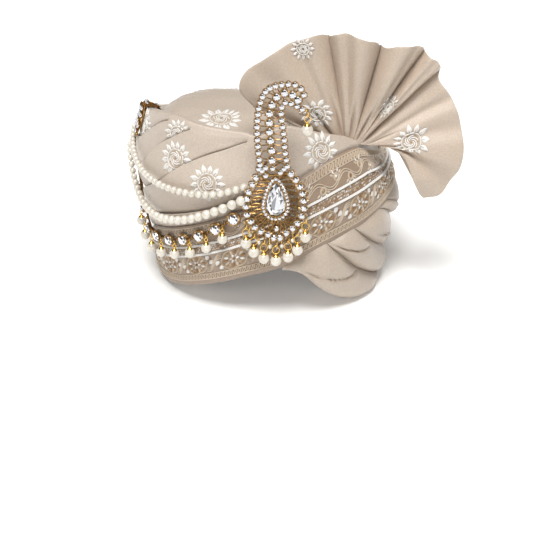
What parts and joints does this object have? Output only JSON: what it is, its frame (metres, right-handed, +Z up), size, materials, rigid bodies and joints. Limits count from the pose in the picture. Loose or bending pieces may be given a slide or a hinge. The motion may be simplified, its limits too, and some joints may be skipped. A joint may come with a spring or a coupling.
{
  "type": "tied turban",
  "caption": "Ready-tied groom's turban of wound satin with an embroidered band, a pleated fan, a stone-set brooch and pearl strings.",
  "frame": {"origin": "on the surface that the turban rests on, under the middle of the whole object's box", "axes": "+Z up, -Y towards the wearer's front with the brooch, +X towards the wearer's left with the fan"},
  "size_m": [0.29, 0.2584, 0.2449],
  "materials": {
    "cloth": "satin weave, champagne beige",
    "trim": "embroidered in gold and white thread",
    "gold": "gold plated, slightly darkened",
    "pearl": "ivory pearl lustre",
    "crystal": "cut and foiled"
  },
  "bodies": {
    "root": {"wound_wall": "cloth", "crown": "cloth", "trim_band": "trim", "fan": "cloth", "kalgi_brooch": "gold", "centre_stone": "crystal", "tip_drop": "pearl", "pearl_string_upper": "pearl", "pearl_string_lower": "pearl", "stone_chain": "gold", "end_clasp": "gold", "wrap_1": "cloth", "side_roll_1": "cloth", "wrap_2": "cloth", "side_roll_2": "cloth", "wrap_3": "cloth", "side_roll_3": "cloth", "wrap_4": "cloth", "side_roll_4": "cloth", "wrap_5": "cloth", "side_roll_5": "cloth", "kalgi_drop_1": "pearl", "kalgi_drop_2": "pearl", "kalgi_drop_3": "pearl", "kalgi_drop_4": "pearl", "kalgi_drop_5": "pearl", "kalgi_drop_6": "pearl", "kalgi_drop_7": "pearl", "chain_drop_1": "pearl", "chain_drop_2": "pearl", "chain_drop_3": "pearl", "chain_drop_4": "pearl", "chain_drop_5": "pearl", "chain_drop_6": "pearl", "chain_drop_7": "pearl", "chain_drop_8": "pearl"}
  },
  "joints": []
}
